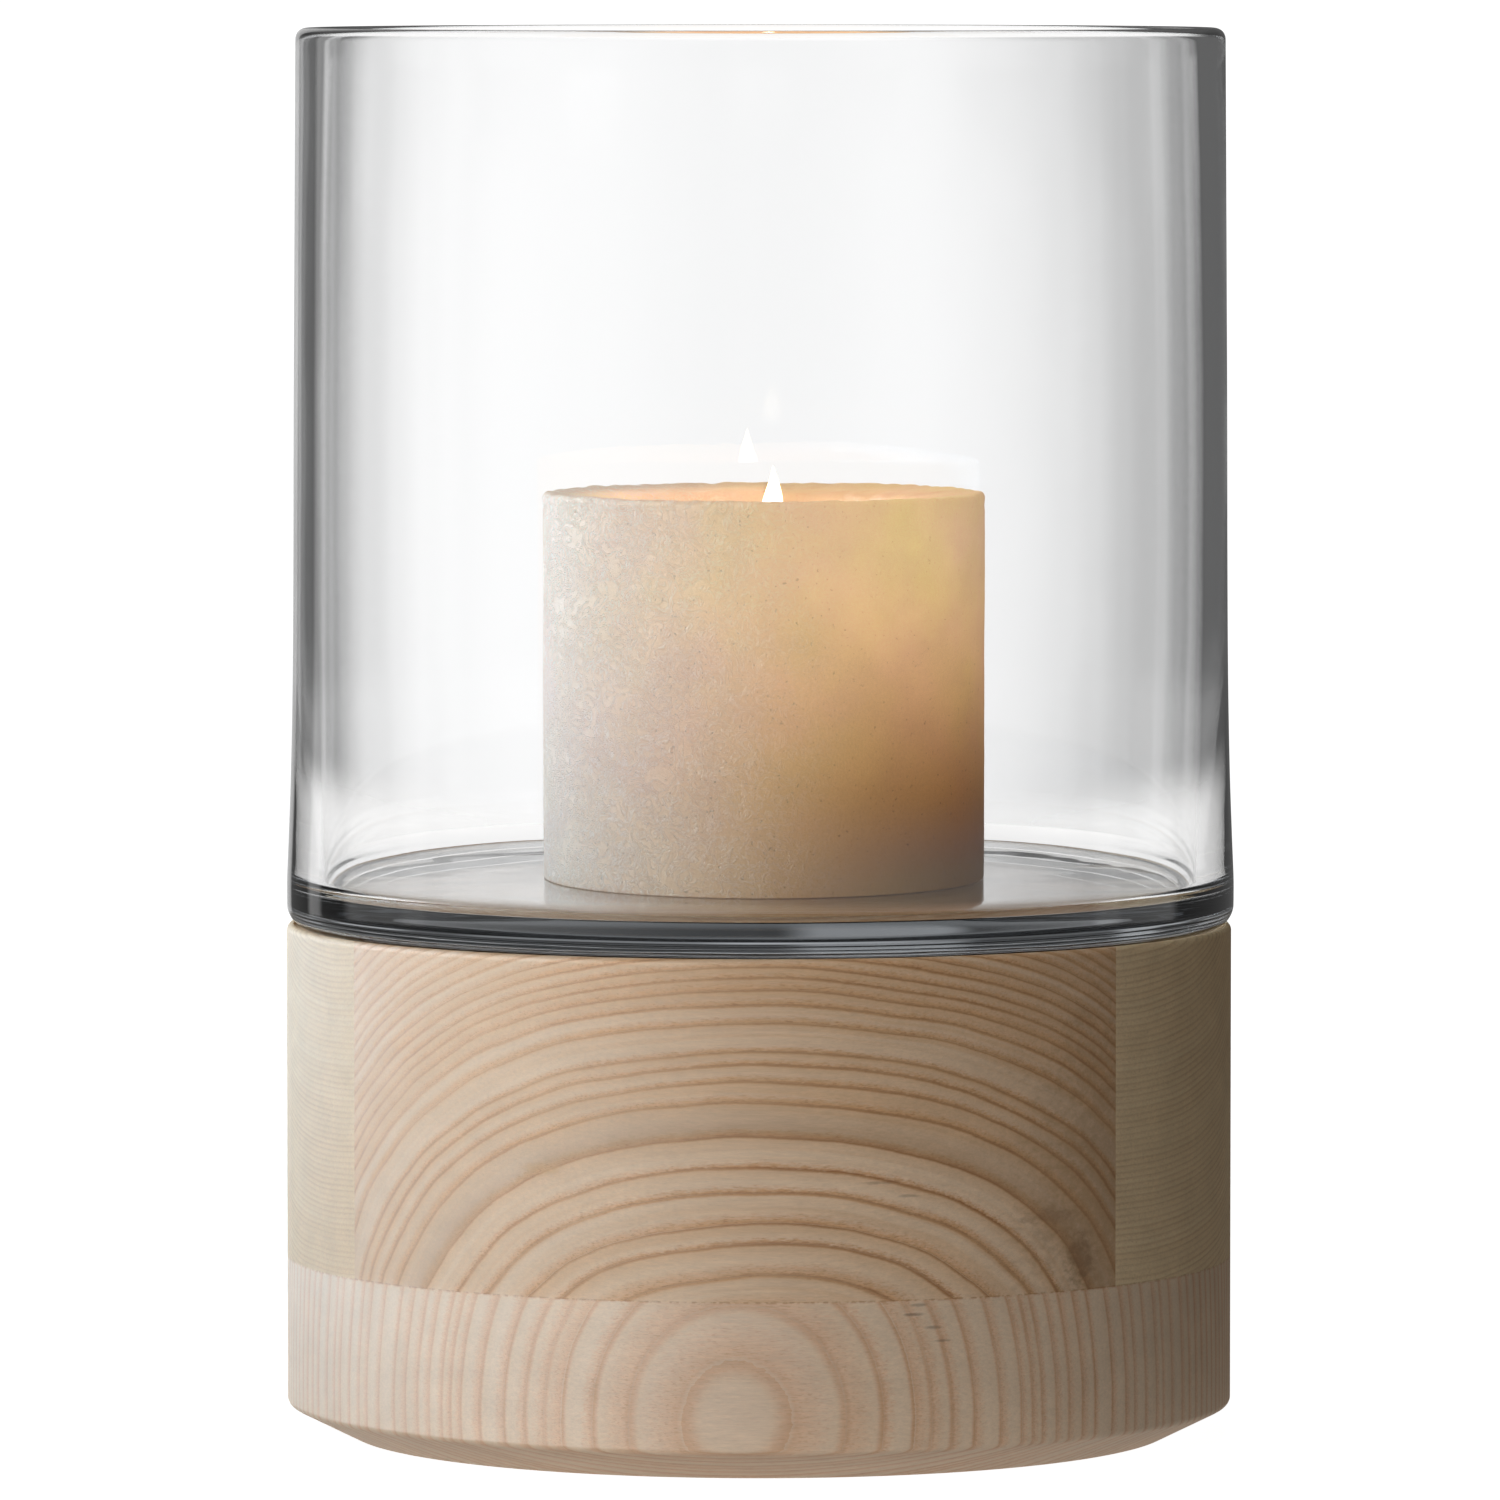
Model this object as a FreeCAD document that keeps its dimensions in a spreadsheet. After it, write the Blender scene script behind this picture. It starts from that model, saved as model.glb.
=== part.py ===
"""Hurricane candle lantern: a glass cylinder on a turned ash base, with a pillar candle inside.

Millimetres, +Z up. The origin is the centre of the base's flat underside, and the front is -Y.
The base is glued up from four boards and turned as one block. The blown glass stands in a
shallow recess in its top, and the candle stands loose on the floor of the glass.
"""

import FreeCAD
import Part
import math
import os
import Sketcher

DIMENSIONS = {
    # Turned wooden base
    "base_radius": 106.5,
    "base_height": 115.0,
    "foot_radius": 92.6,
    "foot_chamfer_height": 6.9,
    "foot_edge_round": 1.6,
    "top_edge_round": 1.4,
    "recess_radius": 105.0,
    "recess_depth": 1.0,
    # Glue lines between its boards
    "lower_board_thickness": 40.0,
    "left_glue_line": 89.6,
    "right_glue_line": 78.5,
    "blank_margin": 5.0,
    # Blown glass, heights above the underside of the glass
    "glass_offset": 0.3,
    "glass_height": 202.5,
    "glass_heel_radius": 106.8,
    "glass_waist_radius": 105.2,
    "glass_rim_radius": 104.5,
    "glass_heel_top": 11.0,
    "glass_waist_height": 84.0,
    "glass_flare_curve": 1700.0,
    "glass_heel_round": 5.5,
    "glass_punt_radius": 94.0,
    "glass_punt_depth": 0.9,
    "glass_floor_thickness": 8.3,
    "glass_inner_rim_radius": 98.1,
    "glass_inner_floor_radius": 99.0,
    "glass_inner_curve": 3500.0,
    "glass_inner_round": 4.0,
    "glass_rim_round": 2.8,
    # Pillar candle, heights above its underside
    "candle_offset": 1.1,
    "candle_radius": 50.0,
    "candle_height": 90.2,
    "candle_edge_round": 1.2,
    "rim_width": 2.5,
    "bowl_mouth_radius": 33.0,
    "bowl_mouth_drop": 1.8,
    "bowl_mouth_round": 5.0,
    "bowl_floor_radius": 27.5,
    "bowl_depth": 13.0,
    "bowl_floor_round": 3.0,
    # Wick and the pressed steel tab that anchors it
    "wick_offset": 1.3,
    "wick_radius": 1.1,
    "wick_straight_height": 80.5,
    "wick_bend_radius": 12.0,
    "wick_bend_rise": 5.2,
    "tab_radius": 10.0,
    "tab_thickness": 0.4,
    "tab_neck_radius": 1.9,
    "tab_neck_height": 6.4,
}

doc = FreeCAD.newDocument("hurricane_lantern")


def make_sheet():
    """The driving dimensions, one aliased cell each."""
    sheet = doc.addObject("Spreadsheet::Sheet", "sizes")
    for row, (alias, value) in enumerate(DIMENSIONS.items(), start=1):
        sheet.set(f"A{row}", alias)
        sheet.set(f"B{row}", str(value))
        sheet.setAlias(f"B{row}", alias)
    doc.recompute()
    return sheet


def size(expression):
    """The value, in mm, of an expression written with the sheet's aliases."""
    return float(driving_sheet.evalExpression(bind(expression)))


def bind(expression):
    """The expression with each alias written as a reference to the sheet."""
    words = []
    for word in expression.split():
        words.append(f"sizes.{word}" if word in DIMENSIONS else word)
    return " ".join(words)


def new_body(label):
    body = doc.addObject("PartDesign::Body", label)
    body.Label = label
    return body


def origin_feature(body, role):
    return next(f for f in body.Origin.OriginFeatures if f.Role == role)


def attached_sketch(body, name, role):
    sketch = body.newObject("Sketcher::SketchObject", name)
    sketch.AttachmentSupport = [(origin_feature(body, role), "")]
    sketch.MapMode = "FlatFace"
    return sketch


def arc_between(start, end, radius, bulge):
    """The shorter arc from start to end. bulge is +1 where it bows to the right of the way
    from start to end, and -1 where it bows to the left. Also says which arc end is start's."""
    chord = end - start
    middle = (start + end) * 0.5
    left = FreeCAD.Vector(-chord.y, chord.x, 0).normalize()
    rise = math.sqrt(radius**2 - (chord.Length / 2) ** 2)
    centre = middle + left * rise * bulge
    first = math.atan2(start.y - centre.y, start.x - centre.x)
    last = math.atan2(end.y - centre.y, end.x - centre.x)
    circle = Part.Circle(centre, FreeCAD.Vector(0, 0, 1), radius)
    if bulge > 0:
        return Part.ArcOfCircle(circle, first, last), 1
    return Part.ArcOfCircle(circle, last, first), 2


def place_point(sketch, element, end, across, up):
    """Fixes one end of one element by expressions for its distances from the origin."""
    for kind, axis, expression in (("DistanceX", -2, across), ("DistanceY", -1, up)):
        if expression == "0":
            sketch.addConstraint(Sketcher.Constraint("PointOnObject", element, end, axis))
            continue
        value = size(expression)
        index = sketch.addConstraint(Sketcher.Constraint(kind, -1, 1, element, end, value))
        sketch.setExpression(f"Constraints[{index}]", bind(expression))


def draw_outline(sketch, corners, arcs=None, closed=True):
    """Lines, or arcs, from corner to corner. Each corner is a pair of expressions, and arcs
    gives, by the index of the corner an arc starts at, its radius expression and its bulge."""
    arcs = arcs or {}
    points = [FreeCAD.Vector(size(across), size(up), 0) for across, up in corners]
    count = len(points) if closed else len(points) - 1
    start_ends = []
    for i in range(count):
        start, end = points[i], points[(i + 1) % len(points)]
        if i in arcs:
            radius, bulge = arcs[i]
            shape, start_end = arc_between(start, end, size(radius), bulge)
            element = sketch.addGeometry(shape, False)
            index = sketch.addConstraint(Sketcher.Constraint("Radius", element, size(radius)))
            sketch.setExpression(f"Constraints[{index}]", bind(radius))
        else:
            start_end = 1
            sketch.addGeometry(Part.LineSegment(start, end), False)
        start_ends.append(start_end)
    for i in range(count if closed else count - 1):
        following = (i + 1) % count
        sketch.addConstraint(
            Sketcher.Constraint(
                "Coincident", i, 3 - start_ends[i], following, start_ends[following]
            )
        )
    for i in range(count):
        place_point(sketch, i, start_ends[i], *corners[i])
    if not closed:
        place_point(sketch, count - 1, 3 - start_ends[-1], *corners[-1])
    doc.recompute()


def revolve(body, corners, arcs=None):
    """A full turn of a closed outline, drawn as (radius, height), about the body's Z axis."""
    outline = attached_sketch(body, body.Name + "_outline", "XZ_Plane")
    draw_outline(outline, corners, arcs)
    turned = body.newObject("PartDesign::Revolution", body.Name + "_turned")
    turned.Profile = outline
    turned.ReferenceAxis = (outline, ["V_Axis"])
    turned.Angle = 360.0
    doc.recompute()
    return turned


def circle_edges(feature, radius, height):
    """Names of the feature's circular edges of this radius at this height."""
    names = []
    for number, edge in enumerate(feature.Shape.Edges, start=1):
        curve = edge.Curve
        if isinstance(curve, Part.Circle):
            same_radius = abs(curve.Radius - size(radius)) < 0.01
            same_height = abs(curve.Center.z - size(height)) < 0.01
            if same_radius and same_height:
                names.append(f"Edge{number}")
    return names


def round_edges(body, name, places, radius):
    """Fillets the circular edges at the given (radius, height) places."""
    base = body.Tip
    fillet = body.newObject("PartDesign::Fillet", name)
    fillet.Base = (base, [edge for place in places for edge in circle_edges(base, *place)])
    fillet.setExpression("Radius", bind(radius))
    doc.recompute()
    return fillet


def bore_up(body, name, radius, depth, offset):
    """A round pocket, off the axis by offset, cut up into the body from its underside."""
    circle = attached_sketch(body, name + "_circle", "XY_Plane")
    centre = FreeCAD.Vector(size(offset), 0, 0)
    circle.addGeometry(Part.Circle(centre, FreeCAD.Vector(0, 0, 1), size(radius)), False)
    place_point(circle, 0, 3, offset, "0")
    index = circle.addConstraint(Sketcher.Constraint("Radius", 0, size(radius)))
    circle.setExpression(f"Constraints[{index}]", bind(radius))
    doc.recompute()
    before = body.Shape.Volume
    pocket = body.newObject("PartDesign::Pocket", name)
    pocket.Profile = circle
    pocket.setExpression("Length", bind(depth))
    pocket.Reversed = True
    doc.recompute()
    if body.Shape.Volume >= before:
        raise RuntimeError(f"{name} cut nothing")


def turned_base():
    """The whole base as it comes off the lathe. The boards are cut from this block."""
    body = new_body("turned_block")
    recess_floor = "base_height - recess_depth"
    revolve(
        body,
        [
            ("0", "0"),
            ("foot_radius", "0"),
            ("base_radius", "foot_chamfer_height"),
            ("base_radius", "base_height"),
            ("recess_radius", "base_height"),
            ("recess_radius", recess_floor),
            ("0", recess_floor),
        ],
    )
    round_edges(body, "foot_edge", [("base_radius", "foot_chamfer_height")], "foot_edge_round")
    round_edges(body, "top_edge", [("base_radius", "base_height")], "top_edge_round")
    return body


def board(block, label, left, right, bottom, top):
    """One board of the base: the part of the turned block between two planes across X and
    two across Z."""
    reach = "( base_radius + blank_margin )"
    blank = doc.addObject("Part::Box", label + "_blank")
    blank.setExpression("Length", bind(f"{right} - {left}"))
    blank.setExpression("Width", bind(f"2 * {reach}"))
    blank.setExpression("Height", bind(f"{top} - {bottom}"))
    blank.setExpression("Placement.Base.x", bind(left))
    blank.setExpression("Placement.Base.y", bind(f"- {reach}"))
    blank.setExpression("Placement.Base.z", bind(bottom))
    cut = doc.addObject("Part::Common", label)
    cut.Base = block
    cut.Tool = blank
    cut.Label = label
    return cut


def base_boards():
    """A lower board under three upper ones, all with their fibres along X."""
    block = turned_base()
    below = "( 0 - blank_margin )"
    above = "( base_height + blank_margin )"
    far_left = "( 0 - base_radius - blank_margin )"
    far_right = "( base_radius + blank_margin )"
    glue_height = "lower_board_thickness"
    left_line = "( 0 - left_glue_line )"
    right_line = "right_glue_line"
    return [
        board(block, "base_lower_board", far_left, far_right, below, glue_height),
        board(block, "base_centre_board", left_line, right_line, glue_height, above),
        board(block, "base_left_board", far_left, left_line, glue_height, above),
        board(block, "base_right_board", right_line, far_right, glue_height, above),
    ]


def glass_cylinder():
    """Thick-walled blown glass with a heavy floor, a hollow underside and a polished rim."""
    body = new_body("glass_cylinder")
    revolve(
        body,
        [
            ("0", "glass_punt_depth"),
            ("glass_punt_radius", "0"),
            ("glass_heel_radius", "0"),
            ("glass_heel_radius", "glass_heel_top"),
            ("glass_waist_radius", "glass_waist_height"),
            ("glass_rim_radius", "glass_height"),
            ("glass_inner_rim_radius", "glass_height"),
            ("glass_inner_floor_radius", "glass_floor_thickness"),
            ("0", "glass_floor_thickness"),
        ],
        {3: ("glass_flare_curve", -1), 6: ("glass_inner_curve", -1)},
    )
    round_edges(body, "glass_heel", [("glass_heel_radius", "0")], "glass_heel_round")
    inner_corner = [("glass_inner_floor_radius", "glass_floor_thickness")]
    round_edges(body, "glass_inner_corner", inner_corner, "glass_inner_round")
    rim = [("glass_rim_radius", "glass_height"), ("glass_inner_rim_radius", "glass_height")]
    round_edges(body, "glass_rim", rim, "glass_rim_round")
    body.setExpression("Placement.Base.x", bind("glass_offset"))
    body.setExpression("Placement.Base.z", bind("base_height - recess_depth"))
    return body


def stand_in_glass(body, across):
    """Puts a body of the candle on the floor of the glass, across from the lantern's axis."""
    floor = "base_height - recess_depth + glass_floor_thickness"
    body.setExpression("Placement.Base.x", bind(across))
    body.setExpression("Placement.Base.z", bind(floor))


def candle_wax():
    """A pillar of wax with a sunken rim, the bowl burnt into its top and the wick's channel."""
    body = new_body("candle_wax")
    bowl_mouth = ("bowl_mouth_radius", "candle_height - bowl_mouth_drop")
    bowl_floor = ("bowl_floor_radius", "candle_height - bowl_depth")
    revolve(
        body,
        [
            ("0", "0"),
            ("candle_radius", "0"),
            ("candle_radius", "candle_height"),
            ("candle_radius - rim_width", "candle_height"),
            bowl_mouth,
            bowl_floor,
            ("0", "candle_height - bowl_depth"),
        ],
    )
    outer = [("candle_radius", "0"), ("candle_radius", "candle_height")]
    round_edges(body, "candle_edges", outer, "candle_edge_round")
    round_edges(body, "bowl_lip", [bowl_mouth], "bowl_mouth_round")
    round_edges(body, "bowl_corner", [bowl_floor], "bowl_floor_round")
    bore_up(body, "tab_recess", "tab_radius", "tab_thickness", "wick_offset")
    bore_up(body, "neck_channel", "tab_neck_radius", "tab_neck_height", "wick_offset")
    bore_up(body, "wick_channel", "wick_radius", "candle_height", "wick_offset")
    stand_in_glass(body, "candle_offset")
    return body


def wick():
    """A braided cotton wick: straight through the wax, with its free end bent over."""
    body = new_body("wick")
    path = attached_sketch(body, "wick_path", "XZ_Plane")
    lean = "( wick_bend_radius - sqrt( wick_bend_radius ^ 2 - wick_bend_rise ^ 2 ) )"
    path_points = [
        ("0", "0"),
        ("0", "wick_straight_height"),
        (lean, "wick_straight_height + wick_bend_rise"),
    ]
    draw_outline(path, path_points, {1: ("wick_bend_radius", -1)}, closed=False)
    section = attached_sketch(body, "wick_section", "XY_Plane")
    circle = Part.Circle(FreeCAD.Vector(), FreeCAD.Vector(0, 0, 1), size("wick_radius"))
    section.addGeometry(circle, False)
    section.addConstraint(Sketcher.Constraint("Coincident", 0, 3, -1, 1))
    index = section.addConstraint(Sketcher.Constraint("Radius", 0, size("wick_radius")))
    section.setExpression(f"Constraints[{index}]", bind("wick_radius"))
    doc.recompute()
    pipe = body.newObject("PartDesign::AdditivePipe", "wick_pipe")
    pipe.Profile = section
    pipe.Spine = path
    doc.recompute()
    stand_in_glass(body, "candle_offset + wick_offset")
    return body


def wick_tab():
    """A pressed steel disc, flush with the candle's underside, with a neck crimped on the wick."""
    body = new_body("wick_tab")
    revolve(
        body,
        [
            ("wick_radius", "0"),
            ("tab_radius", "0"),
            ("tab_radius", "tab_thickness"),
            ("tab_neck_radius", "tab_thickness"),
            ("tab_neck_radius", "tab_neck_height"),
            ("wick_radius", "tab_neck_height"),
        ],
    )
    stand_in_glass(body, "candle_offset + wick_offset")
    return body


def check_document():
    """Stops on any object that failed to compute."""
    for item in doc.Objects:
        if "Invalid" in item.State or "Error" in item.State:
            raise RuntimeError(f"{item.Label} is {item.State}")


def write_parts(pieces):
    """Checks each piece's solid and writes it to parts/, named after its label."""
    for piece in pieces:
        shape = piece.Shape
        if shape.isNull() or not shape.isValid() or len(shape.Solids) != 1:
            raise RuntimeError(f"{piece.Label} isn't one valid solid")
    os.makedirs("parts", exist_ok=True)
    for piece in pieces:
        piece.Shape.exportStep(f"parts/{piece.Label}.step")
        box = piece.Shape.optimalBoundingBox(False)
        print(
            f"{piece.Label}: {box.XLength:.2f} x {box.YLength:.2f} x {box.ZLength:.2f} mm,"
            f" from z {box.ZMin:.2f}, {piece.Shape.Volume / 1000:.1f} cm3"
        )


driving_sheet = make_sheet()
pieces = base_boards() + [glass_cylinder(), candle_wax(), wick(), wick_tab()]
doc.recompute()
check_document()
write_parts(pieces)
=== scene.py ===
"""Looks of the hurricane candle lantern: turned ash, blown glass and a lit pillar candle.

Lengths are in metres in the row frame: +Z up, the front of the lantern towards -Y.
"""

import math

import bmesh
import bpy
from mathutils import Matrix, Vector, noise


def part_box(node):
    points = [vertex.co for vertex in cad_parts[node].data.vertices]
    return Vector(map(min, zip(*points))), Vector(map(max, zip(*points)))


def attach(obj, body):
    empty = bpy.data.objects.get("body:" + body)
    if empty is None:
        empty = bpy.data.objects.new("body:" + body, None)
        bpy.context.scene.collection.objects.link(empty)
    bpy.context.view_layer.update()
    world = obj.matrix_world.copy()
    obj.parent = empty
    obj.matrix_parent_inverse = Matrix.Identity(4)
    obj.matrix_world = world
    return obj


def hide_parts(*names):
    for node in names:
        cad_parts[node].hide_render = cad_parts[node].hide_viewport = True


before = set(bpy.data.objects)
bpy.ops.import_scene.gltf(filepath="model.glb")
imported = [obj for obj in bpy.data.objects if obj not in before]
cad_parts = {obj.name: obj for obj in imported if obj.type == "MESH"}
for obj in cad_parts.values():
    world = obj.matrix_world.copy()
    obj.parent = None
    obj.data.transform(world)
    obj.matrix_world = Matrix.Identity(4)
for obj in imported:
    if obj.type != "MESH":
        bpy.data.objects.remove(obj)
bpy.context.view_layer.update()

MM = 0.001


# ---------------------------------------------------------------- sizes from the frame

def merged_box(*nodes):
    """The lowest and highest corner of several nodes together."""
    boxes = [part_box(n) for n in nodes]
    low = Vector([min(b[0][i] for b in boxes) for i in range(3)])
    high = Vector([max(b[1][i] for b in boxes) for i in range(3)])
    return low, high


BOARDS = ("base_lower_board", "base_centre_board", "base_left_board", "base_right_board")
base_low, base_high = merged_box(*BOARDS)
glass_low, glass_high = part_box("glass_cylinder")
wax_low, wax_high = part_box("candle_wax")
wick_low, wick_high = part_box("wick")
tab_low, tab_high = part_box("wick_tab")

BASE_RADIUS = (base_high.x - base_low.x) / 2
BASE_TOP = base_high.z
FOOT_RADIUS = 92.6 * MM
CHAMFER_TOP = 6.9 * MM
RECESS_RADIUS = 105.0 * MM
RECESS_FLOOR = glass_low.z
GLUE_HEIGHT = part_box("base_lower_board")[1].z
LEFT_GLUE_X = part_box("base_left_board")[1].x
RIGHT_GLUE_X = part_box("base_right_board")[0].x
GLASS_X = (glass_low.x + glass_high.x) / 2
GLASS_RADIUS = (glass_high.x - glass_low.x) / 2
GLASS_TOP = glass_high.z
GLASS_FLOOR = wax_low.z
WAX_X = (wax_low.x + wax_high.x) / 2
WAX_RADIUS = (wax_high.x - wax_low.x) / 2
WAX_TOP = wax_high.z
WICK_X = (tab_low.x + tab_high.x) / 2
SKIN = 0.06 * MM  # clearance between touching pieces, so that their faces don't coincide

# Glass: outer and inner radius at the rim, and the inner radius just above the inner floor
RIM_RADIUS = 104.5 * MM
INNER_RIM_RADIUS = 98.1 * MM
INNER_FOOT_RADIUS = 99.0 * MM
RIM_ROUND = 3.0 * MM
HEEL_ROUND = 5.5 * MM
FLOOR_ROUND = 4.0 * MM

# Candle: its bowl, the pool in the bowl, and the flame
BOWL_DEPTH = 13.0 * MM
POOL_TOP = WAX_TOP - 10.6 * MM
FLAME_FOOT = POOL_TOP + 3.2 * MM
FLAME_TOP = WAX_TOP + 5.6 * MM
FLAME_RADIUS = 2.9 * MM


# ---------------------------------------------------------------- mesh helpers

def rounded(corners, steps):
    """An outline with each (r, z, round) corner replaced by an arc of that radius."""
    out = []
    last = len(corners) - 1
    for i, (r, z, radius) in enumerate(corners):
        here = Vector((r, z))
        if radius <= 0 or i in (0, last):
            out.append(here)
            continue
        before = (Vector(corners[i - 1][:2]) - here).normalized()
        after = (Vector(corners[i + 1][:2]) - here).normalized()
        half = before.angle(after) / 2
        centre = here + (before + after).normalized() * (radius / math.sin(half))
        start = here + before * (radius / math.tan(half)) - centre
        sweep = start.angle_signed(here + after * (radius / math.tan(half)) - centre)
        for k in range(steps + 1):
            turn = -sweep * k / steps
            out.append(centre + Vector((
                start.x * math.cos(turn) - start.y * math.sin(turn),
                start.x * math.sin(turn) + start.y * math.cos(turn),
            )))
    return out


def divided(outline, longest):
    """The outline with every stretch longer than longest cut into equal parts."""
    out = [outline[0]]
    for a, b in zip(outline, outline[1:]):
        parts = max(1, math.ceil((b - a).length / longest - 1e-6))
        out += [a.lerp(b, k / parts) for k in range(1, parts + 1)]
    return out


def turned_mesh(outline, around, centre_x=0.0):
    """A bmesh turned from an outline of (r, z) points that starts and ends on the axis."""
    bm = bmesh.new()
    rings = []
    for r, z in outline:
        if r < 1e-7:
            rings.append([bm.verts.new((centre_x, 0, z))])
            continue
        rings.append([
            bm.verts.new((
                centre_x + r * math.cos(2 * math.pi * k / around),
                r * math.sin(2 * math.pi * k / around),
                z,
            ))
            for k in range(around)
        ])
    for low, high in zip(rings, rings[1:]):
        for k in range(around):
            n = (k + 1) % around
            if len(low) == 1:
                bm.faces.new((low[0], high[n], high[k]))
            elif len(high) == 1:
                bm.faces.new((low[k], low[n], high[0]))
            else:
                bm.faces.new((low[k], low[n], high[n], high[k]))
    return bm


def finished(bm, name, sharp_degrees, material):
    """Links the bmesh as an object with smooth faces and sharp edges past an angle."""
    bmesh.ops.recalc_face_normals(bm, faces=bm.faces)
    mesh = bpy.data.meshes.new(name)
    bm.to_mesh(mesh)
    bm.free()
    for face in mesh.polygons:
        face.use_smooth = True
    mesh.set_sharp_from_angle(angle=math.radians(sharp_degrees))
    mesh.materials.append(material)
    obj = bpy.data.objects.new(name, mesh)
    bpy.context.scene.collection.objects.link(obj)
    return obj


def keep_side(bm, point, normal):
    """Cuts the solid by a plane, keeps the side the normal points to and closes the cut."""
    cut = bmesh.ops.bisect_plane(
        bm, geom=bm.verts[:] + bm.edges[:] + bm.faces[:], dist=1e-7,
        plane_co=point, plane_no=normal, clear_inner=True,
    )
    edges = [e for e in cut["geom_cut"] if isinstance(e, bmesh.types.BMEdge)]
    bmesh.ops.contextual_create(bm, geom=edges)


# ---------------------------------------------------------------- node helpers

class Nodes:
    """A short way to write node trees: each call makes one node and returns its output."""

    def __init__(self, tree):
        self.tree = tree
        tree.nodes.clear()

    def make(self, kind, *inputs, out=0, **settings):
        node = self.tree.nodes.new(kind)
        named = settings.pop("named", {})
        for key, value in settings.items():
            setattr(node, key, value)
        for i, value in list(enumerate(inputs)) + list(named.items()):
            if value is None:
                continue
            socket = node.inputs[i]
            if isinstance(value, bpy.types.NodeSocket):
                self.tree.links.new(value, socket)
            elif isinstance(value, tuple) and len(value) == 3 and socket.type == "RGBA":
                socket.default_value = (*value, 1.0)
            else:
                socket.default_value = value
        return node.outputs[out]

    def math(self, operation, *values):
        return self.make("ShaderNodeMath", *values, operation=operation)

    def vector(self, operation, *values, out=0):
        return self.make("ShaderNodeVectorMath", *values, operation=operation, out=out)

    def combine(self, x, y, z):
        return self.make("ShaderNodeCombineXYZ", x, y, z)

    def split(self, value):
        """The x, y and z outputs of a vector."""
        node = self.tree.nodes.new("ShaderNodeSeparateXYZ")
        self.tree.links.new(value, node.inputs[0])
        return node.outputs[0], node.outputs[1], node.outputs[2]

    def step(self, value, low, high, to_low=0.0, to_high=1.0):
        """Rises smoothly from to_low to to_high as value goes from low to high."""
        return self.make(
            "ShaderNodeMapRange", value, low, high, to_low, to_high,
            interpolation_type="SMOOTHSTEP",
        )

    def noise(self, where, scale, detail=2.0, roughness=0.5, distortion=0.0):
        return self.make(
            "ShaderNodeTexNoise", noise_dimensions="3D",
            named={"Vector": where, "Scale": scale, "Detail": detail,
                   "Roughness": roughness, "Distortion": distortion},
        )

    def mix(self, share, a, b):
        """The colour a where share is 0, and b where it is 1."""
        node = self.tree.nodes.new("ShaderNodeMix")
        node.data_type = "RGBA"
        for socket, value in ((node.inputs[0], share), (node.inputs[6], a), (node.inputs[7], b)):
            if isinstance(value, bpy.types.NodeSocket):
                self.tree.links.new(value, socket)
            elif isinstance(value, tuple):
                socket.default_value = (*value, 1.0)
            else:
                socket.default_value = value
        return node.outputs[2]

    def tint(self, colour, amount):
        """The colour multiplied by a number."""
        return self.vector("SCALE", colour, None, None, amount)

    def bump(self, height, strength, distance):
        return self.make(
            "ShaderNodeBump",
            named={"Strength": strength, "Distance": distance, "Height": height},
        )

    def finish(self, shader, volume=None):
        node = self.tree.nodes.new("ShaderNodeOutputMaterial")
        self.tree.links.new(shader, node.inputs["Surface"])
        if volume is not None:
            self.tree.links.new(volume, node.inputs["Volume"])


def new_material(name):
    """An empty node material, and its Nodes."""
    material = bpy.data.materials.new(name)
    material.use_nodes = True
    return material, Nodes(material.node_tree)


def principled(n, **inputs):
    """A Principled shader. Each input is given by its name, with _ for the spaces."""
    named = {key.replace("_", " "): value for key, value in inputs.items()}
    return n.make("ShaderNodeBsdfPrincipled", named=named)


def position_mm(n):
    """The point on the piece, in millimetres in the row frame at rest."""
    coordinates = n.make("ShaderNodeTexCoord", out=3)
    return n.vector("SCALE", coordinates, None, None, 1000.0)


# ---------------------------------------------------------------- materials

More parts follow.
